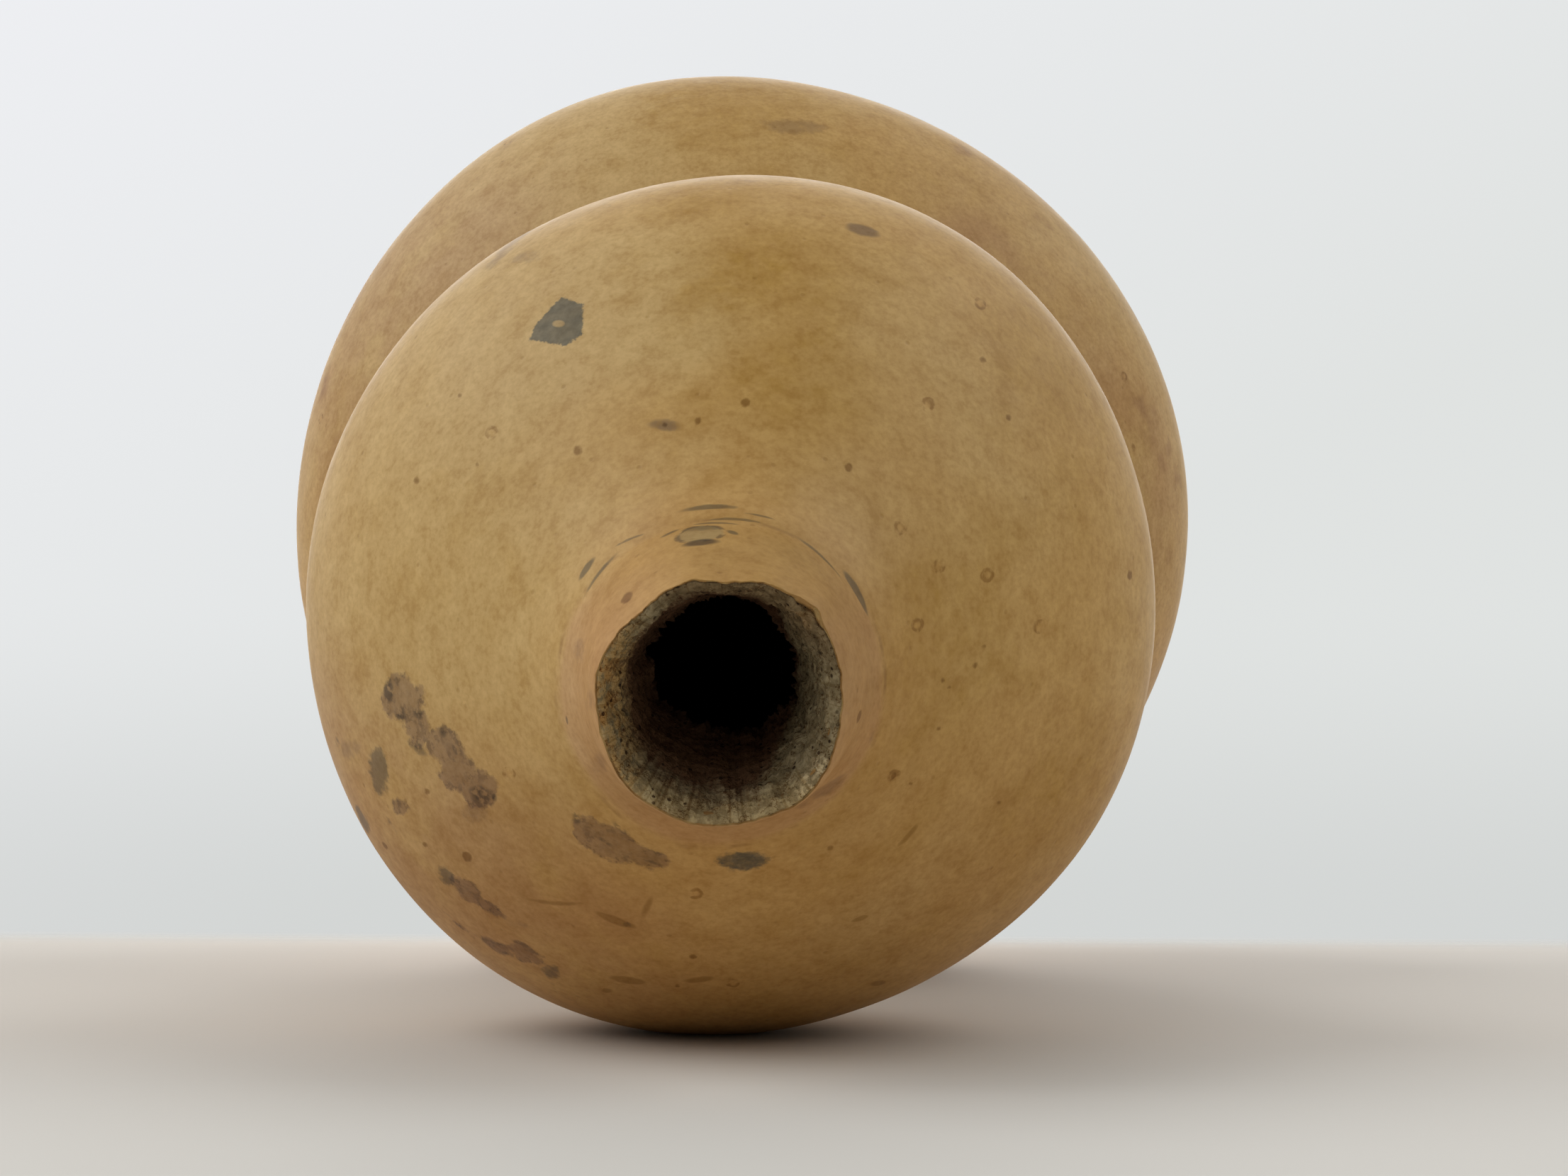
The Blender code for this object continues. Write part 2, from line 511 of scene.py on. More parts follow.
@dataclass
class Pith:
    """The dried pith that fills the neck between the rind and the bore, rough where it was cut and torn."""

    form: GourdForm
    segments: int = 432
    bedding: float = 0.0005
    lip: tuple = (
        (0.0003, 0.00862), (0.0, 0.00842), (0.0004, 0.008), (0.0014, 0.0076), (0.003, 0.0072),
        (0.006, 0.0068),
    )
    cavity: tuple = ((0.021, 0.0073), (0.025, 0.0125), (0.0285, 0.0185), (0.029, 0.024), (0.0262, 0.0262))
    bore_shares: tuple = (
        (0, 0.98), (15, 1.0), (26, 0.89), (45, 0.90), (55, 0.97), (72, 0.91), (86, 0.955), (108, 0.98),
        (136, 0.96), (150, 1.06), (171, 1.09), (180, 0.99), (207, 1.08), (236, 0.94), (268, 0.94),
        (297, 1.04), (319, 1.05), (343, 1.0),
    )
    lump_size: float = 0.0016
    lump_height: float = 0.00034
    grain_size: float = 0.00045
    grain_height: float = 0.00014
    crest_size: float = 0.0020
    crest_height: float = 0.00026
    torn_size: float = 0.00055
    torn_height: float = 0.00048
    torn_stretch: float = 0.15
    torn_gain: float = 0.8
    crumbs_turn: float = 322.0
    crumbs_reach: float = 34.0
    crumbs_height: float = 0.00045
    slit_turn: float = 44.5
    slit_reach: float = 12.0
    slit_width: float = 0.00042
    slit_depth: float = 0.0024

    def free_outline(self) -> Outline:
        """The side that shows, from the rim over the lip and down the bore to the cavity's edge."""
        return [*self.lip, (0.0100, 0.0063), (0.0170, self.form.bore_radius), *self.cavity]

    def bed_outline(self) -> Outline:
        """The side that is bedded in the rind, from the cavity's edge back to the rim."""
        return [self.cavity[-1], *self.form.inset(self.bedding, 0.004, 0.022)[::-1], self.lip[0]]

    def build(self) -> tuple[TurnedWall, np.ndarray]:
        """Turns the pith and roughens it.

        Returns:
            The wall, and its points in the gourd's own frame.
        """
        wall = TurnedWall(self.segments)
        pitches = ((0.0, 0.00011), (0.0035, 0.0002), (0.0215, 0.0009))
        wall.turn(smooth_path(self.free_outline(), pitches, False), 0)
        wall.turn(smooth_path(self.bed_outline(), ((0.0, 0.0012),), False), 0)
        wall.close()
        return wall, self.shaped(wall.points())

    @staticmethod
    def off(angle: np.ndarray, turn: float) -> np.ndarray:
        """How many degrees angles lie from a turn, either way."""
        return np.abs((np.degrees(angle) - turn + 180.0) % 360.0 - 180.0)

    def shaped(self, points: np.ndarray) -> np.ndarray:
        """Swells turned points as the rind is, and roughens the cut face and the bore.

        Args:
            points: The turned points, as rows of x, y and z.

        Returns:
            The shaped points.
        """
        station, radius = points[:, 1], np.hypot(points[:, 0], points[:, 2])
        angle = np.arctan2(points[:, 2], points[:, 0])
        skin = np.interp(station, self.form.skin_path[:200, 0], self.form.skin_path[:200, 1])
        depth = skin - radius
        free = fade(depth, self.bedding + 0.0001, self.bedding + 0.0009)
        grown = radius * self.form.factor(station, angle)
        shaped = np.column_stack((grown * np.cos(angle), station, grown * np.sin(angle)))
        bore = ring_value(self.bore_shares, angle, 2.0)
        deep = fade(station, 0.002, 0.015) * (1 - fade(station, 0.019, 0.024))
        grown *= 1 + free * deep * (bore - 1)
        rough = self.lump_height * lumps(shaped, self.lump_size, 3)
        rough += self.grain_height * lumps(shaped + 0.01, self.grain_size, 2)
        grown += free * rough * (1 + self.torn_gain * fade(station, 0.012, 0.016))
        along = shaped * (1.0, self.torn_stretch, 1.0)
        throat = fade(station, 0.012, 0.015) * (1 - fade(station, 0.020, 0.024))
        grown += throat * self.torn_height * lumps(along, self.torn_size, 2)
        crest = 1 - fade(station, 0.0002, 0.0016)
        crest *= fade(depth, self.bedding - 0.0003, self.bedding + 0.0002)
        crumbs = self.crumbs_height * (1 - fade(self.off(angle, self.crumbs_turn), 0.0, self.crumbs_reach))
        rise = crest * (self.crest_height * lumps(shaped - 0.02, self.crest_size, 4) + 0.00004)
        rise += crest * crumbs * lumps(shaped + 0.03, self.crest_size / 2, 3)
        slit = 1 - fade(self.off(angle, self.slit_turn), self.slit_reach * 0.5, self.slit_reach)
        grown -= slit * (1 - fade(station, 0.0012, self.slit_depth)) * self.slit_width
        return np.column_stack((grown * np.cos(angle), station - rise, grown * np.sin(angle)))


@dataclass(frozen=True)
class Mark:
    """A mark on the skin: its middle, its length and width, and its slant from the way round to the foot."""

    station: float
    turn: float
    length: float
    width: float
    slant: float = 0.0

    @classmethod
    def rows(cls, *rows: tuple[float, ...]) -> tuple["Mark", ...]:
        """Marks from rows of the same values, with their lengths in millimetres."""
        return tuple(cls(row[0] * MM, row[1], row[2] * MM, row[3] * MM, *row[4:]) for row in rows)


@dataclass(frozen=True)
class MarkKind:
    """Marks of one kind, and how they show.

    They fade in from the outer to the inner distance, which count outwards from a mark's outline. There they
    multiply the skin's colour by the ratio, as far as the strength says.
    """

    marks: tuple[Mark, ...]
    ratio: Colour
    outer: float
    inner: float
    strength: float = 1.0


@dataclass(frozen=True)
class Zone:
    """A broad, soft zone of the skin: its middle and how far it reaches."""

    station: float
    turn: float
    reach: float

    @classmethod
    def rows(cls, *rows: tuple[float, float, float]) -> tuple["Zone", ...]:
        """Zones from rows of the same values, with their lengths in millimetres."""
        return tuple(cls(station * MM, turn, reach * MM) for station, turn, reach in rows)


@dataclass(frozen=True)
class Facet:
    """One straight side of an angular stain: the way it faces, in degrees, and how far out it is."""

    facing: float
    out: float


class Value:
    """A number, place or colour that a node gives, to be used in plain sums."""

    def __init__(self, sheet: "Sheet", socket: bpy.types.NodeSocket) -> None:
        """Keeps the socket, and the sheet that further nodes go on."""
        self.sheet = sheet
        self.socket = socket

    def __add__(self, other: "Feed") -> "Value":
        """The sum of two numbers."""
        return self.sheet.math("ADD", self, other)

    def __sub__(self, other: "Feed") -> "Value":
        """The difference of two numbers."""
        return self.sheet.math("SUBTRACT", self, other)

    def __mul__(self, other: "Feed") -> "Value":
        """The product of two numbers."""
        return self.sheet.math("MULTIPLY", self, other)

    def __gt__(self, other: "Feed") -> "Value":
        """1 where the first number is the larger, and 0 elsewhere."""
        return self.sheet.math("GREATER_THAN", self, other)

    def __lt__(self, other: "Feed") -> "Value":
        """1 where the first number is the smaller, and 0 elsewhere."""
        return self.sheet.math("LESS_THAN", self, other)

    def __abs__(self) -> "Value":
        """The number without its sign."""
        return self.sheet.math("ABSOLUTE", self)

    def rise(self, start: float, end: float) -> "Value":
        """A smooth step from 0 at start to 1 at end."""
        values = {"Value": self, "From Min": start, "From Max": end}
        return self.sheet.result("MapRange", values, interpolation_type="SMOOTHSTEP")


Feed = Value | float | tuple[float, ...]
Inputs = dict[str | int, Feed]


class Sheet:
    """A sheet of nodes for a material or the world, with short calls for what the finishes use."""

    def __init__(self, tree: bpy.types.NodeTree, coordinates: str) -> None:
        """Starts on a tree, with one kind of coordinates as the place that patterns go by."""
        self.tree = tree
        self.place = Value(self, tree.nodes.new("ShaderNodeTexCoord").outputs[coordinates])

    def feed(self, socket: bpy.types.NodeSocket, value: Feed) -> None:
        """Links a value that comes from a node to a socket, or sets one that doesn't.

        Args:
            socket: The socket.
            value: What it gets.
        """
        if isinstance(value, Value):
            self.tree.links.new(value.socket, socket)
        else:
            socket.default_value = value

    def result(self, kind: str, values: Inputs, output: str | int = 0, **choices: object) -> Value:
        """What a new node gives.

        Args:
            kind: Its type, without the first word of the type's name.
            values: What its sockets get, by name or by place.
            output: Which of its outputs is used.
            choices: Its settings.

        Returns:
            The output.
        """
        made = self.tree.nodes.new("ShaderNode" + kind)
        for name, choice in choices.items():
            setattr(made, name, choice)
        for key, value in values.items():
            self.feed(made.inputs[key], value)
        return Value(self, made.outputs[output])

    def math(self, operation: str, *values: Feed) -> Value:
        """The result of a sum on one, two or three numbers."""
        return self.result("Math", dict(enumerate(values)), operation=operation)

    def fold(self, operation: str, values: Iterable[Value]) -> Value:
        """One number from several, by a sum on two at a time, each made just before it is used."""
        return reduce(lambda one, other: self.math(operation, one, other), values)

    def dot(self, place: Feed, shares: Sequence[float]) -> Value:
        """The sum of a place's numbers, each multiplied by its share."""
        return self.result("VectorMath", {0: place, 1: shares}, "Value", operation="DOT_PRODUCT")

    def mapped(self, middle: Sequence[float], turn: Sequence[float], size: Sequence[float]) -> Value:
        """The place, counted from a middle, along turned axes, in shares of a size."""
        values = {"Vector": self.place, "Location": middle, "Rotation": turn, "Scale": size}
        return self.result("Mapping", values, vector_type="TEXTURE")

    def stretched(self, shares: Sequence[float], place: Value | None = None) -> Value:
        """A place that is scaled along each axis."""
        return self.result("Mapping", {"Vector": place or self.place, "Scale": shares}, vector_type="POINT")

    def parts(self, place: Value | None = None) -> list[Value]:
        """The three numbers of a place."""
        x = self.result("SeparateXYZ", {0: place or self.place})
        return [Value(self, output) for output in x.socket.node.outputs]

    def noise(
        self, size: float, detail: float = 2.0, roughness: float = 0.5, place: Value | None = None
    ) -> Value:
        """Soft noise from 0 to 1, whose lumps are about a size wide."""
        values = {"Vector": place or self.place, "Scale": 1.0 / size}
        return self.result("TexNoise", {**values, "Detail": detail, "Roughness": roughness})

    def cells(self, size: float, place: Value | None = None) -> tuple[Value, Value]:
        """The distance from the nearest of many points a size apart, in sizes, and that point's chance.

        Args:
            size: How far apart the points are.
            place: Where they are read, if not at the sheet's own place.

        Returns:
            The distance, and a number from 0 to 1 that is the same all round one point.
        """
        values = {"Vector": place or self.place, "Scale": 1.0 / size}
        distance = self.result("TexVoronoi", values, "Distance")
        colour = Value(self, distance.socket.node.outputs["Color"])
        return distance, self.parts(colour)[0]

    def zone_share(self, middle: Sequence[float], reach: float) -> Value:
        """How deep the place lies in a ball, from 0 at its outside to 1 in its middle."""
        inside = self.mapped(middle, (0.0, 0.0, 0.0), (reach, reach, reach))
        return self.result("TexGradient", {0: inside}, "Fac", gradient_type="SPHERICAL")

    def mix(self, share: Feed, first: Feed, second: Feed, way: str = "MIX") -> Value:
        """Two colours, mixed by a share of the second."""
        one, other = [(*colour, 1.0) if isinstance(colour, tuple) else colour for colour in (first, second)]
        return self.result("Mix", {0: share, 6: one, 7: other}, 2, data_type="RGBA", blend_type=way)


class Coat(Sheet):
    """A material's sheet, on which the base colour is laid in layers."""

    def __init__(self, name: str, colour: Colour, resting: Resting | None = None) -> None:
        """Starts a material.

        Args:
            name: Its name.
            colour: The colour of its lowest layer.
            resting: How the gourd lies, for patterns that go by its own frame, along Y from the cut mouth.
        """
        self.material = bpy.data.materials.new(name)
        self.material.use_nodes = True
        super().__init__(self.material.node_tree, "Object")
        self.shader = self.tree.nodes["Principled BSDF"]
        self.colour: Feed = colour
        if resting is not None:
            self.place = self.mapped(resting.shift, (resting.tilt, 0.0, 0.0), (1.0, 1.0, 1.0))

    def cover(self, share: Feed, other: Colour) -> None:
        """Lays another colour over where the share is 1."""
        self.colour = self.mix(share, self.colour, other)

    def tint(self, share: Feed, ratio: Colour) -> None:
        """Multiplies the colour by a ratio where the share is 1."""
        self.colour = self.mix(share, self.colour, ratio, "MULTIPLY")

    def surface(self, roughness: Feed, specular: float, height: Value | None = None) -> bpy.types.Material:
        """Joins the layers to the shader.

        Args:
            roughness: The roughness.
            specular: The specular level.
            height: The fine relief in metres, where it has one.

        Returns:
            The finished material.
        """
        self.feed(self.shader.inputs["Base Color"], self.colour)
        self.feed(self.shader.inputs["Roughness"], roughness)
        self.shader.inputs["Specular IOR Level"].default_value = specular
        if height is not None:
            bump = self.result("Bump", {"Strength": 1.0, "Distance": 1.0, "Height": height})
            self.feed(self.shader.inputs["Normal"], bump)
        return self.material


class SkinCoat(Coat):
    """The skin's sheet, which also tells how far a place on the skin lies from marks and zones."""

    def __init__(self, form: GourdForm, resting: Resting, colour: Colour, seam_shift: float) -> None:
        """Starts the skin's material, and rolls the skin out: the angle from its seam, the station, and 1.

        Args:
            form: The gourd's form.
            resting: How the gourd lies.
            colour: The colour of the lowest layer.
            seam_shift: How many degrees the seam is turned back from -X, to where it crosses no mark.
        """
        super().__init__("gourd_skin", colour, resting)
        self.form = form
        self.seam_shift = seam_shift
        turn = math.radians(seam_shift)
        x = self.dot(self.place, (math.cos(turn), 0.0, -math.sin(turn)))
        z = self.dot(self.place, (math.sin(turn), 0.0, math.cos(turn)))
        values = {0: self.math("ARCTAN2", z, x), 1: self.dot(self.place, (0.0, 1.0, 0.0)), 2: 1.0}
        self.spread = self.result("CombineXYZ", values)

    def across(self, mark: Mark, facing: float, scale: float, shift: float = 0.0) -> Value:
        """A distance over the skin from a mark's middle.

        Args:
            mark: The mark.
            facing: Which way the distance is counted, in degrees from the way round towards the foot.
            scale: What the distance is multiplied by.
            shift: What is added to it.

        Returns:
            The distance.
        """
        round_share = scale * math.cos(math.radians(facing)) * self.form.skin_radius(mark.station, mark.turn)
        foot_share = scale * math.sin(math.radians(facing)) * self.form.skin_stretch(mark.station, mark.turn)
        middle = math.radians((mark.turn + self.seam_shift + 180.0) % 360.0 - 180.0)
        rest = shift - round_share * middle - foot_share * mark.station
        return self.dot(self.spread, (round_share, foot_share, rest))

    def edge(self, mark: Mark) -> Value:
        """How far a place lies outside a mark, in metres, and below 0 inside it.

        Args:
            mark: The mark.

        Returns:
            The distance.
        """
        rise = math.sqrt(mark.width / 4)
        long = self.across(mark, mark.slant, 2 * rise / mark.length)
        wide = self.across(mark, mark.slant + 90.0, 2 * rise / mark.width)
        return self.math("MULTIPLY_ADD", wide, wide, long * long) - mark.width / 4

    def nearest(self, marks: Iterable[Mark]) -> Value:
        """How far a place lies outside the nearest of some marks, in metres."""
        return self.fold("MINIMUM", (self.edge(mark) for mark in marks))

    def angular(self, mark: Mark, sides: Iterable[Facet]) -> Value:
        """How far a place lies outside a straight-sided mark, in metres."""
        return self.fold("MAXIMUM", (self.across(mark, side.facing, 1.0, -side.out) for side in sides))

    def zone(self, zones: Iterable[Zone]) -> Value:
        """How deep a place lies in some broad zones, from 0 at their edges to 1 in their middles."""
        return self.fold("MAXIMUM", (self.depth(zone) for zone in zones))

    def depth(self, zone: Zone) -> Value:
        """How deep a place lies in one zone, from 0 to 1.

        Args:
            zone: The zone.

        Returns:
            The depth.
        """
        radius, angle = self.form.skin_radius(zone.station, zone.turn), math.radians(zone.turn)
        middle = (radius * math.cos(angle), zone.station, radius * math.sin(angle))
        return self.zone_share(middle, zone.reach)

    def mark(self, kind: MarkKind, frayed: Feed, patchy: Feed | None = None) -> tuple[Value, Value]:
        """Tints the skin at all the marks of one kind.

        Args:
            kind: The marks, and how they show.
            frayed: What is added to the distance from them, so that their edges fray.
            patchy: How strong they are from place to place, where that isn't even.

        Returns:
            The distance from them, and the share of the tint.
        """
        far = self.nearest(kind.marks) + frayed
        share = far.rise(kind.outer, kind.inner) * (kind.strength if patchy is None else patchy)
        self.tint(share, kind.ratio)
        return far, share


@dataclass(frozen=True)
class SkinMarks:
    """What time, damp and handling have left on the skin, with its broad zones; the pale zones are painted
    light on the lit upper left, and the scar's shade mark is a painted shadow along its upper side.
    """

    dashes: MarkKind = MarkKind(
        Mark.rows(
            (11.3, 96, 4.4, 0.7, 4), (12.2, 144, 2.1, 0.8, -2), (10.8, 142, 4.0, 0.45),
            (9.5, 51, 4.4, 0.45, 8), (10.1, 32, 4.0, 1.0, 3), (7.7, 87, 1.2, 0.6, 40),
            (9.3, 111, 1.6, 0.5, -10),
        ),
        (0.42, 0.45, 0.52), 0.00006, -0.00012,
    )
    scratches: MarkKind = MarkKind(
        Mark.rows(
            (9.9, 86, 3.6, 0.25), (10.6, 78, 1.7, 0.2), (11.1, 126, 1.8, 0.2, 20), (9.4, 93, 2.7, 0.3, 8),
            (11.7, 198, 0.6, 0.3, 23),
        ),
        (0.42, 0.45, 0.52), 0.00008, -0.00003, 0.85,
    )
    scar: MarkKind = MarkKind(Mark.rows((7.8, 99.5, 3.7, 2.9, 15)), (0.80, 0.90, 1.15), 0.0001, -0.0002)
    # Painted shadow: a dark band along the scar's upper side.
    scar_shade: MarkKind = MarkKind(
        Mark.rows((8.7, 98.8, 2.7, 0.9, 14)), (0.60, 0.62, 0.64), 0.00015, -0.0002
    )
    strip: MarkKind = MarkKind(Mark.rows((6.2, 99.5, 2.9, 1.2, 8)), (0.28, 0.27, 0.27), 0.0001, -0.0002)
    oval: MarkKind = MarkKind(Mark.rows((15.5, 275, 4.7, 3.4, 16)), (0.23, 0.31, 0.58), 0.00055, 0.0)
    blotches: MarkKind = MarkKind(
        Mark.rows(
            (17.1, 232, 4.8, 3.4, 88), (16.6, 239, 5.6, 5.0, -87), (16.3, 248, 5.0, 3.5),
            (26.9, 190, 6.6, 4.6, 80), (26.2, 195.5, 5.2, 3.6, 82), (24.0, 200, 5.6, 4.4, 85),
            (23.8, 205, 5.5, 4.0, 83), (22.6, 210, 5.2, 3.8, 86), (31.0, 208, 4.0, 1.7, -88),
            (30.3, 224.5, 4.0, 3.6, -88), (29.7, 229.5, 4.4, 2.0, -31), (34.0, 234, 4.6, 2.8, -40),
            (32.0, 238, 4.4, 4.0, -87), (35.4, 229, 7.0, 1.5, -13),
        ),
        (0.66, 0.64, 0.76), 0.0002, -0.0002,
    )
    flecks: MarkKind = MarkKind(
        Mark.rows(
            (25.6, 193, 1.6, 0.9, 85), (27.4, 193, 1.6, 1.3, 68), (28.2, 189, 1.9, 1.5, 36),
            (26.6, 199, 2.3, 1.1, -56), (23.7, 197, 1.1, 0.8, 81), (22.9, 201, 1.3, 1.0, -39),
            (22.6, 211, 3.0, 1.7, -77), (21.8, 212.5, 1.1, 0.7, 82), (16.8, 237, 1.2, 0.5, 10),
            (16.6, 250, 1.4, 0.3, 5), (14.8, 238, 1.6, 0.6, 20), (16.8, 227, 1.4, 0.8, 60),
        ),
        (0.42, 0.43, 0.48), 0.0002, -0.0003,
    )
    stains: MarkKind = MarkKind(
        Mark.rows(
            (32.4, 202, 5.8, 3.5, 52), (40.2, 209, 4.8, 2.7, 82), (33.9, 210, 1.9, 0.8, -11),
            (38.2, 197, 1.4, 0.8, 70), (31.1, 221, 3.0, 2.1, 69), (32.5, 243, 3.0, 2.4, 84),
            (23.0, 250.5, 1.3, 1.0, -61),
        ),
        (0.46, 0.49, 0.60), 0.0003, -0.0003,
    )
    smears: MarkKind = MarkKind(
        Mark.rows(
            (36.5, 72, 3.0, 1.9, -9), (18.7, 105, 2.6, 1.0, 28), (18.7, 104.5, 0.9, 0.9),
        ),
        (0.50, 0.49, 0.60), 0.0002, -0.00025,
    )
    smudges: MarkKind = MarkKind(
        Mark.rows(
            (38.9, 119, 3.8, 1.7, 55), (45.4, 121, 9.0, 3.0, -61), (119.5, 83, 8.5, 3.6, -13),
            (8.6, 215, 6.0, 1.5, 76), (8.0, 170, 4.6, 1.7, 87), (2.5, 185, 4.6, 1.6, 79),
            (9.8, 311, 5.0, 2.1, 60), (7.5, 302, 6.0, 1.6, -85), (11.5, 334, 1.8, 0.9, -37),
            (35.7, 198, 5.6, 2.0, 88), (23.7, 214, 3.9, 1.8, -83), (29.1, 234, 2.6, 1.2, -50),
        ),
        (0.66, 0.64, 0.71), 0.0005, -0.0004, 0.8,
    )
    streaks: MarkKind = MarkKind(
        Mark.rows(
            (23.1, 248, 3.2, 1.1), (24.4, 236.5, 4.3, 0.4, -48), (20.9, 253, 2.7, 0.5, -87),
            (29.4, 254, 3.0, 1.2, -15), (27.9, 265.5, 2.4, 0.9, -19), (31.8, 251.5, 1.1, 0.7, -57),
            (34.4, 293, 1.7, 1.0, 52), (24.8, 296, 1.2, 0.7, 14), (20.6, 315, 2.1, 0.6, -9),
        ),
        (0.66, 0.60, 0.46), 0.00015, -0.00010, 0.85,
    )
    lenticels: tuple[Mark, ...] = Mark.rows(
        *((station, turn, 1.4, 1.0, 90) for station, turn in (
            (24.4, 51), (16.9, 38), (18.1, 24), (15.0, 12), (15.8, 326), (21.4, 17), (25.1, 4),
            (35.2, 53), (18.8, 263), (28.4, 271), (19.4, 209), (25.3, 138),
        ))
    )
    dots: tuple[Mark, ...] = Mark.rows(
        *((station, turn, size, size * 0.75, 90) for station, turn, size in (
            (17.4, 58, 0.9), (19.8, 126, 1.0), (19.6, 86, 1.0), (18.5, 97, 0.7), (17.1, 299, 0.7),
            (20.4, 2, 0.5), (19.7, 358, 0.6), (17.1, 355, 0.5), (17.7, 353, 0.4), (17.6, 342, 0.5),
            (25.5, 330, 0.6), (36.4, 8, 1.1), (28.8, 39, 0.7), (30.5, 48, 0.8), (25.2, 264, 0.8),
            (27.4, 207, 0.8), (17.6, 326, 0.4), (24.6, 144, 0.4), (29.8, 138, 0.5), (28.9, 262, 0.6),
            (27.4, 220, 1.4), (30.9, 215, 0.7), (37.5, 213, 1.1), (15.8, 326, 0.7), (5.8, 346, 1.4),
            (3.6, 137, 1.5), (28.6, 153, 0.8), (18.7, 105, 0.5),
        ))
    )
    patch: Mark = Mark(0.0292, 118.2, 0.0050, 0.0050)
    patch_sides: tuple[Facet, ...] = (
        Facet(60.6, 0.00224), Facet(38.7, 0.00242), Facet(-40.9, 0.00203), Facet(258.4, 0.00263),
        Facet(194.8, 0.00205), Facet(147.0, 0.00247),
    )
    patch_speck: Mark = Mark(0.0293, 118.4, 0.0012, 0.0007, 51)
    ochre: tuple[Zone, ...] = Zone.rows(
        (30.0, 84, 12.5), (21.5, 75, 10.0), (40.0, 93, 9.0), (33.0, 335, 12.0), (16.0, 5, 12.0),
        (36.0, 40, 10.0), (125.0, 92, 20.0), (160.0, 150, 32.0), (145.0, 320, 34.0), (175.0, 40, 26.0),
        (85.0, 280, 22.0),
    )
    # Painted light: broad pale zones on the lit upper left and top of both bulbs.
    pale: tuple[Zone, ...] = Zone.rows(
        (30.0, 170, 36.0), (33.0, 130, 26.0), (115.0, 130, 50.0), (27.0, 104, 12.0),
    )
    dusk: tuple[Zone, ...] = Zone.rows(
        (38.0, 208, 20.0), (30.0, 232, 24.0), (116.0, 150, 34.0), (113.0, 10, 24.0), (113.0, 52, 9.0),
        (150.0, 255, 34.0), (165.0, 350, 26.0), (70.0, 60, 18.0),
    )


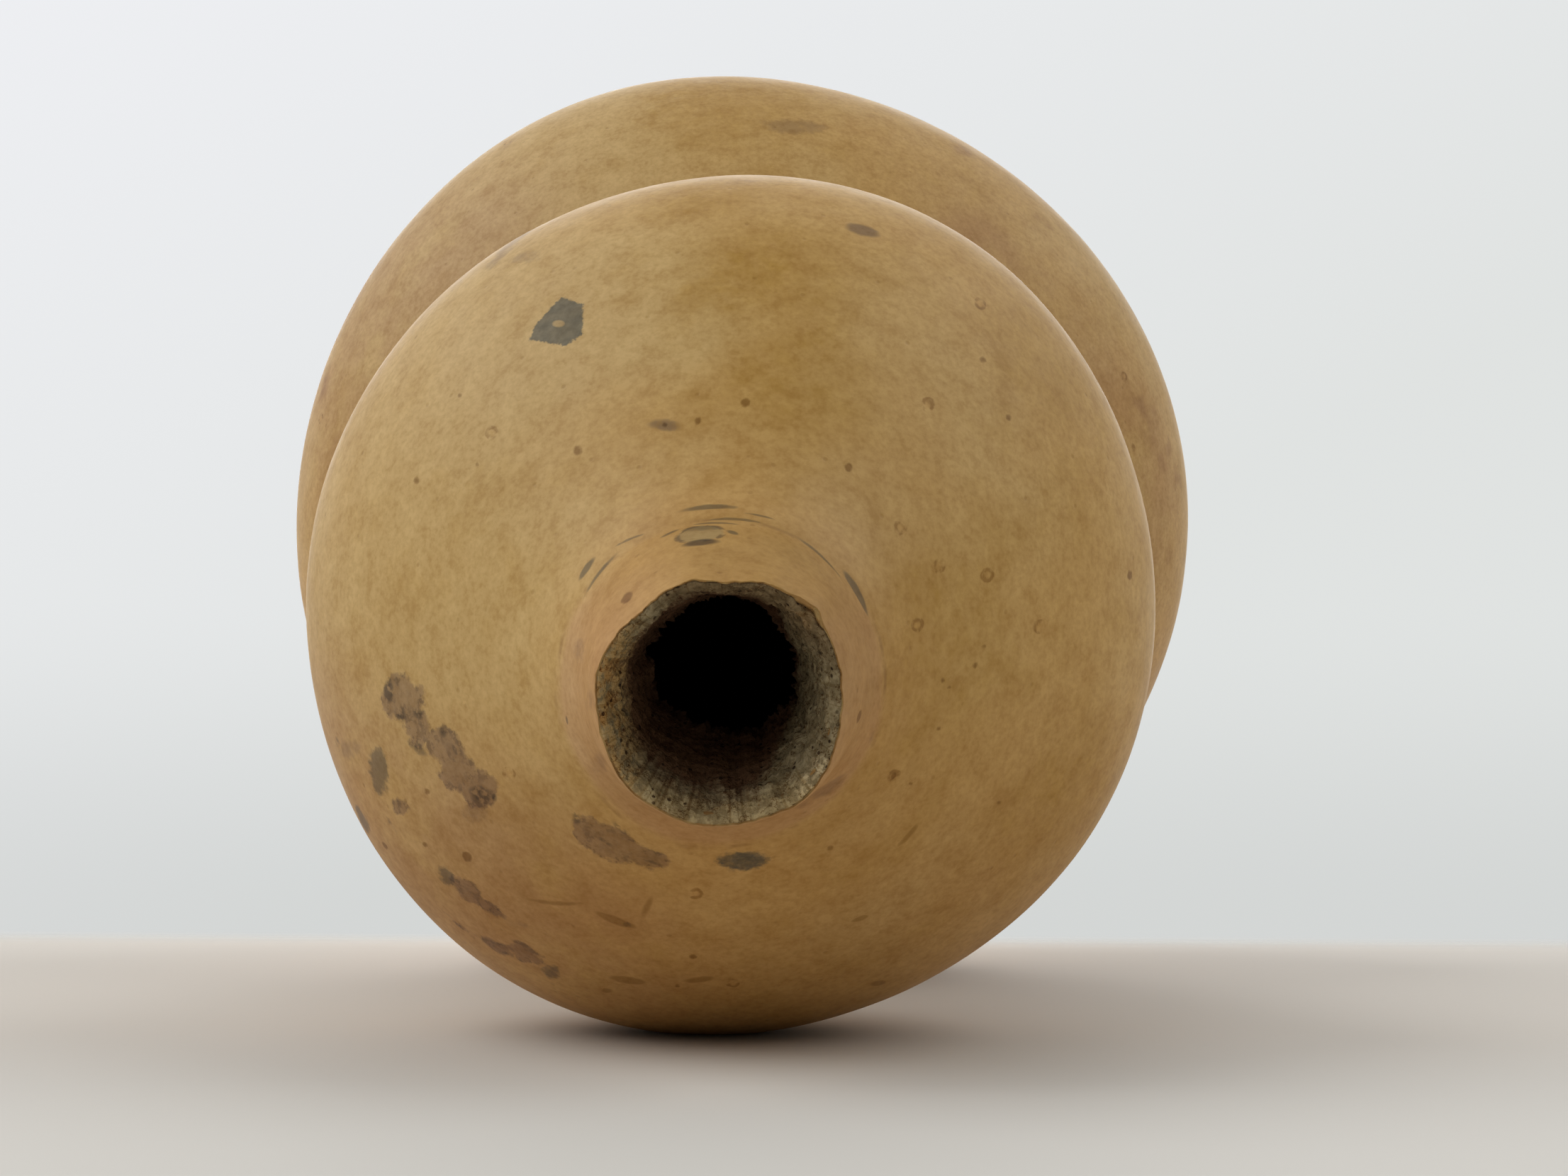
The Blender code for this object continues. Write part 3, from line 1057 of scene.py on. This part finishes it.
@dataclass(frozen=True)
class SkinFinish:
    """The matte to satin skin, tan with ochre mottling and all of its marks, with painted light on its upper
    left and painted shade round the neck and along the scar.
    """

    form: GourdForm
    resting: Resting
    ring: NeckRing
    marks: SkinMarks = SkinMarks()
    tan: Colour = (0.572, 0.344, 0.110)
    pale: Colour = (0.618, 0.412, 0.163)
    ochre: Colour = (0.462, 0.262, 0.056)
    dusk_ratio: Colour = (0.87, 0.81, 0.86)
    mottle_ratio: Colour = (0.90, 0.86, 0.78)
    clear_ratio: Colour = (1.07, 1.09, 1.13)
    under_ratio: Colour = (1.03, 0.95, 0.92)
    neck_shade_ratio: Colour = (0.88, 0.82, 0.74)
    neck_top_right_shade_ratio: Colour = (0.85, 0.85, 0.77)
    pink_ratio: Colour = (0.97, 0.93, 1.12)
    ring_ratio: Colour = (0.62, 0.54, 0.50)
    grain_ratio: Colour = (0.90, 0.87, 0.80)
    pore_ratio: Colour = (0.72, 0.66, 0.55)
    halo_ratio: Colour = (0.66, 0.58, 0.46)
    heart_ratio: Colour = (1.06, 0.96, 0.80)
    dot_ratio: Colour = (0.55, 0.47, 0.34)
    speckle_ratio: Colour = (0.66, 0.66, 0.68)
    dapple_ratio: Colour = (0.84, 0.84, 0.88)
    patch_ratio: Colour = (0.25, 0.32, 0.50)
    scar_rim_ratio: Colour = (0.50, 0.50, 0.54)
    foot_ratio: Colour = (0.86, 0.79, 0.70)
    blossom_ratio: Colour = (0.44, 0.35, 0.28)
    age_ratio: Colour = (0.80, 0.73, 0.74)
    specular: float = 0.16
    seam_shift: float = 20.0

    def material(self) -> bpy.types.Material:
        """Makes the skin's material.

        Returns:
            The material.
        """
        skin = SkinCoat(self.form, self.resting, self.tan, self.seam_shift)
        self.ground(skin)
        self.neck(skin)
        height = self.pores(skin)
        self.lenticels(skin)
        small = skin.noise(0.0006) * 0.0005 - 0.00025
        self.soiling(skin, small)
        self.patch(skin)
        self.nicks(skin, small)
        self.foot(skin)
        roughness = skin.noise(0.0040, 3.0, 0.6) * 0.16 + 0.40
        return skin.surface(roughness, self.specular, height)

    def ground(self, skin: SkinCoat) -> None:
        """The skin's colour: tan, paler and darker in patches, with ochre clouds, a little warmer towards
        the underside, and pale zones that are painted light on the lit upper left.

        Args:
            skin: The skin's sheet.
        """
        broad = skin.noise(0.022, 3.0, 0.55).rise(0.38, 0.68)
        # Painted light: the pale zones lighten the lit upper left, as a painted sheen.
        light = skin.zone(self.marks.pale).rise(0.0, 0.7)
        skin.cover(light * 0.9 + broad * 0.5, self.pale)
        cloud = skin.noise(0.0065, 5.0, 0.62).rise(0.47, 0.66) * 0.55
        share = skin.zone(self.marks.ochre).rise(0.0, 0.8) * 0.9 + cloud
        skin.cover(share * (skin.noise(0.0018, 4.0, 0.6) * 1.1), self.ochre)
        dusk = skin.zone(self.marks.dusk).rise(0.0, 0.6)
        skin.tint(dusk * skin.noise(0.008, 4.0, 0.6).rise(0.25, 0.60), self.dusk_ratio)
        mottle = skin.noise(0.0024, 4.0, 0.68)
        skin.tint(mottle.rise(0.48, 0.70), self.mottle_ratio)
        skin.tint(mottle.rise(0.50, 0.34), self.clear_ratio)
        skin.tint(skin.parts()[2].rise(0.004, -0.028), self.under_ratio)

    def neck(self, skin: SkinCoat) -> None:
        """The pinker neck inside the ring, the ring's thin line, and painted shade on the neck: round it,
        ending nearer the mouth on the lit left, and more on its top and right.

        Args:
            skin: The skin's sheet.
        """
        x, station, z = skin.parts()
        past = x * self.ring.lean + (z * self.ring.rise + station) - self.ring.station
        past = skin.noise(0.006) * 0.0012 + (past - 0.0006)
        # Painted shade: the neck and the shoulder round it are darkened, ending nearer the mouth on the lit
        # left.
        lit = x.rise(-0.004, -0.012) * 0.006 + station
        skin.tint(lit.rise(0.0220, 0.0080), self.neck_shade_ratio)
        # Painted shade on the top and right of the neck.
        skin.tint((x + z).rise(0.001, 0.010) * station.rise(0.0125, 0.0070), self.neck_top_right_shade_ratio)
        skin.tint(past.rise(0.0003, -0.0012) * z.rise(0.0095, 0.0030), self.pink_ratio)
        line = abs(past).rise(0.00030, 0.00005)
        skin.tint(line * (skin.noise(0.0035, 3.0).rise(0.46, 0.62) * 0.55), self.ring_ratio)

    def pores(self, skin: SkinCoat) -> Value:
        """Fine grain and tiny pores, whose relief it gives back with the skin's small lumps.

        Args:
            skin: The skin's sheet.

        Returns:
            The relief, in metres.
        """
        grain = skin.noise(0.0006, 4.0, 0.65)
        skin.tint(grain.rise(0.35, 0.75), self.grain_ratio)
        distance, chance = skin.cells(0.0021)
        pore = distance.rise(0.14, 0.05) * (chance > 0.62)
        skin.tint(pore * 0.55, self.pore_ratio)
        return grain * 0.000016 - pore * 0.000020 + skin.noise(0.0045) * 0.00007

    def lenticels(self, skin: SkinCoat) -> None:
        """The small rings and dots through which the fruit breathed, and a few more further back.

        Args:
            skin: The skin's sheet.
        """
        bent = skin.noise(0.0007) * 0.0003 + (skin.nearest(self.marks.lenticels) - 0.00010)
        distance, chance = skin.cells(0.0125, skin.stretched((1.0, 0.72, 1.0)))
        elsewhere = (skin.parts()[1] < 0.056) + (chance < 0.45)
        bent = skin.math("MINIMUM", bent, (distance - 0.045) * 0.0125 + elsewhere)
        skin.tint(abs(bent).rise(0.00022, 0.00006) * skin.noise(0.0009).rise(0.38, 0.58), self.halo_ratio)
        skin.tint(bent.rise(0.0, -0.0003) * 0.35, self.heart_ratio)
        dot = skin.noise(0.0005) * 0.0003 + skin.nearest(self.marks.dots)
        skin.tint((dot - 0.00015).rise(0.00008, -0.00014), self.dot_ratio)

    def soiling(self, skin: SkinCoat, small: Value) -> None:
        """Blotches, smudges, stains, smears and streaks, their edges frayed finely or in broad waves.

        Args:
            skin: The skin's sheet.
            small: What frays the edges of small marks.
        """
        wide = skin.noise(0.0030) * 0.0018 - 0.0012
        wobble = skin.noise(0.0008, 3.0, 0.7) * 0.0012 + wide
        skin.mark(self.marks.streaks, small)
        skin.mark(self.marks.smudges, wobble)
        skin.mark(self.marks.smears, small)
        blotch, inside = skin.mark(self.marks.blotches, wobble)
        rim = inside * blotch.rise(-0.0013, -0.0001)
        skin.tint(rim * skin.noise(0.0009, 3.0, 0.7).rise(0.48, 0.60), self.speckle_ratio)
        skin.tint(inside * skin.noise(0.0016, 3.0, 0.6).rise(0.50, 0.66), self.dapple_ratio)
        skin.mark(self.marks.flecks, small, skin.noise(0.0007, 3.0).rise(0.36, 0.52))
        skin.mark(self.marks.stains, wobble)
        cloudy = skin.noise(0.0007, 4.0, 0.7) * 1.1 + 0.35
        skin.mark(self.marks.oval, skin.noise(0.0008, 4.0, 0.7) * 0.0011, cloudy)

    def patch(self, skin: SkinCoat) -> None:
        """The straight-sided dark stain high on the front, with a paler speck in it.

        Args:
            skin: The skin's sheet.
        """
        frayed = skin.noise(0.00035, 3.0, 0.7) * 0.0007 - 0.00035
        far = frayed + skin.angular(self.marks.patch, self.marks.patch_sides)
        speck = skin.edge(self.marks.patch_speck).rise(-0.0001, 0.0002) + 0.35
        tone = skin.math("MINIMUM", speck, 1.0) * (skin.noise(0.0012, 3.0) * 0.30 + 0.80)
        skin.tint(far.rise(0.00012, -0.00012) * tone, self.patch_ratio)

    def nicks(self, skin: SkinCoat, small: Value) -> None:
        """The dark dashes, scratches and the healed scar round the neck, with a painted shadow along the
        scar's upper side.

        Args:
            skin: The skin's sheet.
            small: What frays the edges of small marks.
        """
        thin = small * 0.35
        skin.mark(self.marks.dashes, thin)
        skin.mark(self.marks.scratches, thin)
        scar, _ = skin.mark(self.marks.scar, small * 0.5)
        broken = skin.noise(0.0012).rise(0.42, 0.60)
        skin.tint(abs(scar).rise(0.00025, 0.00008) * broken, self.scar_rim_ratio)
        # Painted shadow along the scar's upper side.
        skin.mark(self.marks.scar_shade, small)
        skin.mark(self.marks.strip, thin)

    def foot(self, skin: SkinCoat) -> None:
        """The blossom's brown scar at the foot, and the soft spots of age on the lower bulb.

        Args:
            skin: The skin's sheet.
        """
        near = skin.zone_share((0.0, self.form.foot, 0.0), 0.0075)
        skin.tint(near.rise(0.0, 0.8), self.foot_ratio)
        ragged = skin.noise(0.0011, 4.0, 0.65) * 0.30 + near
        skin.tint(ragged.rise(0.66, 0.72), self.blossom_ratio)
        spot = skin.noise(0.013, 3.0, 0.6).rise(0.60, 0.72)
        skin.tint(spot * skin.parts()[1].rise(0.062, 0.085), self.age_ratio)


@dataclass(frozen=True)
class PithFinish:
    """Dried pith: grey and crumbly at the lip, browner down the bore from stain and painted shade, with dark
    specks, fibres, painted shade in crevices and pits, and painted light and shade on the lip.
    """

    resting: Resting
    grey: Colour = (0.215, 0.162, 0.083)
    pale: Colour = (0.360, 0.285, 0.160)
    brown: Colour = (0.120, 0.060, 0.028)
    warm: Colour = (0.450, 0.290, 0.115)
    rust: Colour = (0.420, 0.215, 0.060)
    lip_top_shade_ratio: Colour = (0.66, 0.58, 0.52)
    lip_low_light_ratio: Colour = (1.45, 1.38, 1.25)
    flap_ratio: Colour = (1.55, 1.50, 1.45)
    flap_middle: tuple[float, float, float] = (0.0059, 0.0008, 0.0055)
    flap_reach: float = 0.0013
    crumb_ratio: Colour = (1.60, 1.62, 1.70)
    crumb_middle: tuple[float, float, float] = (0.0070, 0.0000, -0.0060)
    crumb_reach: float = 0.0024
    lined_ratio: Colour = (0.74, 0.68, 0.58)
    crevice_shade_ratio: Colour = (0.48, 0.38, 0.28)
    speck_ratio: Colour = (0.22, 0.17, 0.14)
    pit_shade_ratio: Colour = (0.42, 0.29, 0.19)
    fibre_ratio: Colour = (0.80, 0.77, 0.72)
    specular: float = 0.15

    def material(self) -> bpy.types.Material:
        """Makes the pith's material.

        Returns:
            The material.
        """
        pith = Coat("gourd_pith", self.grey, self.resting)
        cloud = pith.noise(0.0020, 4.0, 0.65)
        fine = pith.noise(0.0006, 3.0, 0.6)
        ray = self.rays(pith)
        self.staining(pith, cloud, fine, ray)
        self.lip(pith, fine)
        height = self.roughness(pith, cloud, fine, ray)
        return pith.surface(0.85, self.specular, height)

    @staticmethod
    def rays(pith: Coat) -> Value:
        """Noise that runs out from the axis in rays.

        Args:
            pith: The pith's sheet.

        Returns:
            The noise, from 0 to 1.
        """
        flat = pith.result("VectorMath", {0: pith.place, 1: (1.0, 0.0, 1.0)}, operation="MULTIPLY")
        around = pith.result("VectorMath", {0: flat}, operation="NORMALIZE")
        return pith.noise(0.00036, 2.0, 0.6, pith.stretched((0.0085, 0.0085, 0.0085), around))

    def staining(self, pith: Coat, cloud: Value, fine: Value, ray: Value) -> None:
        """Grey and pale pith, brown down the bore, partly stain and partly painted shade of the bore's
        depth, warm and rusty along the left.

        Args:
            pith: The pith's sheet.
            cloud: Its broad noise.
            fine: Its fine noise.
            ray: Its noise in rays.
        """
        x, station, _ = pith.parts()
        pith.cover(pith.noise(0.0012, 4.0, 0.6).rise(0.42, 0.62), self.pale)
        # Painted shade: the brown that covers the bore deeper in is partly the pith's stain and partly
        # painted shade of the bore's depth, reaching further in on the right.
        reach = x.rise(0.0022, 0.0060) * 0.0110 + 0.0017
        wander = cloud * 0.0060 + ray * 0.0050 - 0.0055
        pith.cover((station + wander - reach).rise(-0.0014, 0.0034), self.brown)
        left = x.rise(-0.0052, -0.0074) * station.rise(0.0060, 0.0025)
        pith.cover(left * fine.rise(0.35, 0.60), self.warm)
        pith.cover(x.rise(-0.0068, -0.0086) * cloud.rise(0.44, 0.56) * 0.8, self.rust)

    def lip(self, pith: Coat, fine: Value) -> None:
        """Painted shade on the top of the lip, painted light on its foot, and the flap and the crumbs on it.

        Args:
            pith: The pith's sheet.
            fine: Its fine noise.
        """
        x, station, z = pith.parts()
        # Painted shade: the top of the lip is darkened.
        pith.tint((x * 0.35 + z).rise(0.0035, 0.0072), self.lip_top_shade_ratio)
        # Painted light: the lower lip, near the mouth, is brightened.
        pith.tint(z.rise(-0.0045, -0.0080) * station.rise(0.0030, 0.0008), self.lip_low_light_ratio)
        pith.tint(pith.zone_share(self.flap_middle, self.flap_reach).rise(0.1, 0.5), self.flap_ratio)
        crumb = pith.zone_share(self.crumb_middle, self.crumb_reach) * fine.rise(0.40, 0.56)
        pith.tint(crumb.rise(0.05, 0.5), self.crumb_ratio)

    def roughness(self, pith: Coat, cloud: Value, fine: Value, ray: Value) -> Value:
        """Rays, specks and fibres, and painted shade in crevices and pits; it gives back the relief of the
        fibres, the specks and the broad and fine noise.

        Args:
            pith: The pith's sheet.
            cloud: Its broad noise.
            fine: Its fine noise.
            ray: Its noise in rays.

        Returns:
            The relief, in metres.
        """
        pith.tint(ray.rise(0.50, 0.66) * pith.parts()[1].rise(0.0045, 0.0015), self.lined_ratio)
        # Painted shade: thin dark lines stand in for shade in the pith's crevices, with no relief of their
        # own.
        crevice = abs(pith.noise(0.0014, 4.0, 0.7) - 0.5).rise(0.030, 0.006)
        pith.tint(crevice * cloud.rise(0.42, 0.54), self.crevice_shade_ratio)
        distance, chance = pith.cells(0.00060)
        crowd = pith.noise(0.0024).rise(0.38, 0.56)
        speck = distance.rise(0.30, 0.18) * ((chance > 0.55) * crowd)
        pith.tint(speck, self.speck_ratio)
        # Painted shade: small dark brown spots stand in for shade in pits, with no relief of their own.
        pit = pith.noise(0.00050, 3.0, 0.7).rise(0.60, 0.68)
        pith.tint(pit * pith.noise(0.0030).rise(0.42, 0.58), self.pit_shade_ratio)
        fibre = pith.noise(0.00035, 3.0, 0.6, pith.stretched((1.0, 0.16, 1.0)))
        pith.tint(fibre.rise(0.50, 0.72), self.fibre_ratio)
        return fine * 0.00024 + fibre * 0.00012 - speck * 0.00010 + cloud * 0.0006


@dataclass(frozen=True)
class LiningFinish:
    """The dark, dull inside of the wall, with the rind's brown edge at the mouth."""

    resting: Resting
    edge: Colour = (0.400, 0.220, 0.075)
    tan: Colour = (0.480, 0.310, 0.120)
    lining: Colour = (0.060, 0.036, 0.020)
    cloud_ratio: Colour = (0.65, 0.60, 0.55)
    specular: float = 0.12

    def material(self) -> bpy.types.Material:
        """Makes the lining's material.

        Returns:
            The material.
        """
        inside = Coat("gourd_lining", self.edge, self.resting)
        inside.cover(inside.noise(0.0016, 3.0, 0.6).rise(0.45, 0.58), self.tan)
        inside.cover(inside.parts()[1].rise(0.0006, 0.0020), self.lining)
        inside.tint(inside.noise(0.004, 4.0, 0.6).rise(0.40, 0.65), self.cloud_ratio)
        return inside.surface(0.9, self.specular, inside.noise(0.0012, 4.0, 0.6) * 0.0003)


@dataclass(frozen=True)
class Camera:
    """The camera, close in front of the mouth and a little below it, looking slightly up."""

    place: tuple[float, float, float] = (0.00247, -0.24839, 0.02004)
    pitch: float = 6.05
    yaw: float = -0.60
    roll: float = 0.31
    lens: float = 49.4
    sensor: float = 36.0

    def build(self) -> None:
        """Puts the camera in the scene."""
        data = bpy.data.cameras.new("camera")
        data.lens = self.lens
        data.sensor_width = self.sensor
        data.clip_start = 0.01
        data.clip_end = 20.0
        camera = bpy.data.objects.new("camera", data)
        yaw = Matrix.Rotation(math.radians(self.yaw), 4, "Z")
        pitch = Matrix.Rotation(math.radians(90 + self.pitch), 4, "X")
        roll = Matrix.Rotation(math.radians(self.roll), 4, "Z")
        camera.matrix_world = Matrix.Translation(self.place) @ yaw @ pitch @ roll
        bpy.context.collection.objects.link(camera)
        bpy.context.scene.camera = camera


@dataclass(frozen=True)
class Lamp:
    """A soft light from far off.

    Its bearing is the way it comes from in degrees, 0 from in front of the mouth and 90 from the right, and
    its height is the angle over the floor.
    """

    name: str
    bearing: float
    height: float
    strength: float
    spread: float = 45.0

    def build(self) -> None:
        """Puts the light in the scene."""
        data = bpy.data.lights.new(self.name, "SUN")
        data.energy = self.strength
        data.angle = math.radians(self.spread)
        lamp = bpy.data.objects.new(self.name, data)
        level = math.cos(math.radians(self.height))
        x, y = math.sin(math.radians(self.bearing)), -math.cos(math.radians(self.bearing))
        way = Vector((x * level, y * level, math.sin(math.radians(self.height))))
        lamp.rotation_euler = way.to_track_quat("Z", "Y").to_euler()
        bpy.context.collection.objects.link(lamp)


@dataclass(frozen=True)
class Studio:
    """A plain pale floor, a pale backdrop and soft light from the sides and from behind."""

    floor_size: float = 3.0
    floor_end: float = 0.105
    floor_soft: float = 0.020
    floor_colour: Colour = (0.60, 0.565, 0.51)
    floor_roughness: float = 0.75
    floor_specular: float = 0.05
    near_lit_colour: Colour = (0.625, 0.605, 0.560)
    near_reach: tuple[float, float] = (-0.035, -0.100)
    backdrop: Colour = (0.745, 0.765, 0.755)
    bright: Colour = (0.850, 0.860, 0.885)
    bright_lean: float = -0.5
    bright_reach: tuple[float, float] = (0.05, 0.50)
    room: Colour = (0.09, 0.09, 0.09)
    room_reach: tuple[float, float] = (-0.35, 0.55)
    horizon: float = 0.88
    horizon_reach: tuple[float, float] = (-0.05, 0.10)
    lamps: tuple[Lamp, ...] = (
        Lamp("left", 270.0, 45.0, 1.15),
        Lamp("right", 90.0, 45.0, 0.84),
        Lamp("back", 180.0, 15.0, 1.28),
        Lamp("front_left", 315.0, 45.0, 0.53),
    )

    def build(self) -> None:
        """Makes the floor, the backdrop's light and the lamps."""
        self.floor()
        self.world()
        for lamp in self.lamps:
            lamp.build()
        bpy.context.scene.view_settings.view_transform = "Standard"
        bpy.context.scene.view_settings.look = "None"

    def floor(self) -> None:
        """The floor, painted paler towards the camera as painted light, which ends softly behind the gourd.
        """
        body = bmesh.new()
        bmesh.ops.create_grid(body, x_segments=1, y_segments=1, size=self.floor_size)
        mesh = bpy.data.meshes.new("floor")
        body.to_mesh(mesh)
        body.free()
        coat = Coat("floor", self.floor_colour)
        y = coat.parts()[1]
        # Painted light: the floor is paler and greyer towards the camera.
        coat.cover(y.rise(*self.near_reach), self.near_lit_colour)
        shown = y.rise(self.floor_end + self.floor_soft, self.floor_end - self.floor_soft)
        coat.feed(coat.shader.inputs["Alpha"], shown)
        mesh.materials.append(coat.surface(self.floor_roughness, self.floor_specular))
        floor = bpy.data.objects.new("floor", mesh)
        bpy.context.collection.objects.link(floor)

    def world(self) -> None:
        """The light from all round: the pale backdrop behind the gourd, and a dimmer room in front of it."""
        world = bpy.data.worlds.new("studio")
        world.use_nodes = True
        sheet = Sheet(world.node_tree, "Generated")
        x, y, z = sheet.parts()
        low, high = self.bright_reach
        corner = {"Value": x * self.bright_lean + z, "From Min": low, "From Max": high}
        backdrop = sheet.mix(sheet.result("MapRange", corner), self.backdrop, self.bright)
        light = world.node_tree.nodes["Background"]
        sheet.feed(light.inputs["Color"], sheet.mix(y.rise(*self.room_reach), self.room, backdrop))
        strength = z.rise(*self.horizon_reach) * (1.0 - self.horizon) + self.horizon
        sheet.feed(light.inputs["Strength"], strength)
        bpy.context.scene.world = world


@dataclass
class Gourd:
    """The whole gourd: its rind and its pith, laid down together."""

    form: GourdForm = GourdForm()
    ring: NeckRing = NeckRing()

    def build(self) -> None:
        """Builds both pieces, lays them down and dresses them."""
        rind = Rind(self.form, self.ring)
        wall, points = rind.build()
        resting = Resting.found(points, self.form.waist_station, rind.sink)
        LOG.info("resting: tilt %.3f degrees, shift %s", math.degrees(resting.tilt), resting.shift)
        skin = SkinFinish(self.form, resting, self.ring).material()
        lining = LiningFinish(resting).material()
        wall.finish("gourd_rind", resting.place(points), (skin, lining))
        wall, points = Pith(self.form).build()
        wall.finish("gourd_pith", resting.place(points), (PithFinish(resting).material(),))


def main() -> None:
    """Builds the camera, the studio and the gourd, in that order."""
    logging.basicConfig(level=logging.INFO, format="%(name)s: %(message)s")
    Camera().build()
    Studio().build()
    Gourd().build()


if __name__ == "__main__":
    main()
